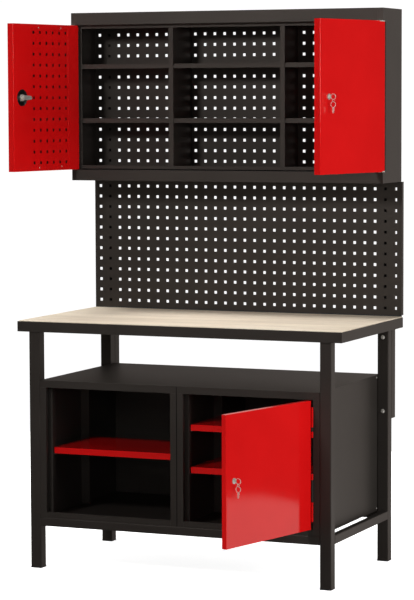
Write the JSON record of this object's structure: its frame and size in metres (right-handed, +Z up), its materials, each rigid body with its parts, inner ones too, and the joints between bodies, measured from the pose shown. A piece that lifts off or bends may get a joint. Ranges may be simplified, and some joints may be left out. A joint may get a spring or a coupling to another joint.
{
  "type": "workbench with cabinet doors",
  "caption": "Steel workbench with a wooden worktop, an open and a closed lower cabinet, a perforated back wall and an upper cabinet with hinged doors.",
  "frame": {"origin": "on the floor, under the middle of the box that holds the object with its doors open as pictured", "axes": "+Z up, +X to the right seen from the front, +Y to the back; the bench is centred a little to the right of the origin because the open doors reach past it on the left and in front"},
  "size_m": [1.253, 1.1078, 1.933],
  "materials": {
    "charcoal_coat": "semi-matt charcoal powder coat",
    "red_coat": "satin red powder coat",
    "worktop_wood": "sealed beech, fine grain",
    "zinc": "bright zinc plating",
    "bright_chrome": "polished nickel",
    "black_plastic": "fine matt black"
  },
  "bodies": {
    "bench": {"leg_front_left": "charcoal_coat", "leg_front_right": "charcoal_coat", "leg_rear_left": "charcoal_coat", "leg_rear_right": "charcoal_coat", "front_rail": "charcoal_coat", "rear_rail": "charcoal_coat", "left_side_rail": "charcoal_coat", "right_side_rail": "charcoal_coat", "worktop_frame": "charcoal_coat", "lower_panel": "charcoal_coat", "upper_panel": "charcoal_coat", "left_upright": "charcoal_coat", "right_upright": "charcoal_coat", "lower_cabinet_top": "charcoal_coat", "lower_left_side": "charcoal_coat", "lower_left_inner_wall": "charcoal_coat", "lower_right_inner_wall": "charcoal_coat", "lower_right_side": "charcoal_coat", "lower_left_floor": "charcoal_coat", "lower_right_floor": "charcoal_coat", "lower_back": "charcoal_coat", "upper_cabinet_top": "charcoal_coat", "upper_cabinet_floor": "charcoal_coat", "upper_left_side": "charcoal_coat", "upper_right_side": "charcoal_coat", "upper_left_divider": "charcoal_coat", "upper_right_divider": "charcoal_coat", "upper_left_low_shelf": "charcoal_coat", "upper_left_high_shelf": "charcoal_coat", "upper_middle_low_shelf": "charcoal_coat", "upper_middle_high_shelf": "charcoal_coat", "upper_right_low_shelf": "charcoal_coat", "upper_right_high_shelf": "charcoal_coat", "worktop_board": "worktop_wood", "lower_left_shelf": "red_coat", "lower_right_high_shelf": "red_coat", "lower_right_low_shelf": "red_coat", "left_low_bolt": "zinc", "left_high_bolt": "zinc", "right_low_bolt": "zinc", "right_high_bolt": "zinc", "high_hinge_pin": "zinc", "low_hinge_pin": "zinc"},
    "upper_left_door_body": {"upper_left_door": "red_coat", "upper_left_liner": "red_coat", "upper_left_lock": "bright_chrome", "upper_left_lock_cup": "black_plastic"},
    "upper_left_cam_body": {"upper_left_cam": "zinc"},
    "upper_right_door_body": {"upper_right_door": "red_coat", "upper_right_liner": "red_coat", "upper_right_lock": "bright_chrome", "upper_right_lock_cup": "black_plastic"},
    "upper_right_cam_body": {"upper_right_cam": "zinc", "upper_right_key": "bright_chrome"},
    "upper_right_spare_key_body": {"upper_right_spare_key": "bright_chrome"},
    "lower_door_body": {"lower_door": "red_coat", "lower_lock": "bright_chrome"},
    "lower_cam_body": {"lower_cam": "zinc", "lower_key": "bright_chrome"},
    "lower_spare_key_body": {"lower_spare_key": "bright_chrome"}
  },
  "joints": [
    {"name": "upper_left_door_hinge", "type": "hinge", "parent": "bench", "child": "upper_left_door_body", "pos_m": [-0.55545, 0.32327, 1.6315], "axis": [0, 0, 1], "range_deg": [-10.4, 99.6]},
    {"name": "upper_left_cam_turn", "type": "hinge", "parent": "upper_left_door_body", "child": "upper_left_cam_body", "pos_m": [-0.61854, -0.00177, 1.6315], "axis": [-0.986, 0.1668, 0], "range_deg": [0, 180]},
    {"name": "upper_right_door_hinge", "type": "hinge", "parent": "bench", "child": "upper_right_door_body", "pos_m": [0.61355, 0.32327, 1.6315], "axis": [0, 0, 1], "range_deg": [-75.9, 34.1]},
    {"name": "upper_right_cam_turn", "type": "hinge", "parent": "upper_right_door_body", "child": "upper_right_cam_body", "pos_m": [0.54067, 0.00029, 1.6315], "axis": [-0.9699, 0.2436, 0], "range_deg": [0, 180]},
    {"name": "upper_right_spare_key_swing", "type": "hinge", "parent": "upper_right_cam_body", "child": "upper_right_spare_key_body", "pos_m": [0.55745, -0.00393, 1.62225], "axis": [-0.9699, 0.2436, 0], "range_deg": [-12, 12]},
    {"name": "lower_door_hinge", "type": "hinge", "parent": "bench", "child": "lower_door_body", "pos_m": [0.521, -0.10423, 0.4158], "axis": [0, 0, 1], "range_deg": [-75.5, 34.5]},
    {"name": "lower_cam_turn", "type": "hinge", "parent": "lower_door_body", "child": "lower_cam_body", "pos_m": [0.41125, -0.51463, 0.4158], "axis": [-0.9681, 0.2504, 0], "range_deg": [0, 180]},
    {"name": "lower_spare_key_swing", "type": "hinge", "parent": "lower_cam_body", "child": "lower_spare_key_body", "pos_m": [0.428, -0.51896, 0.40655], "axis": [-0.9681, 0.2504, 0], "range_deg": [-12, 12]}
  ]
}
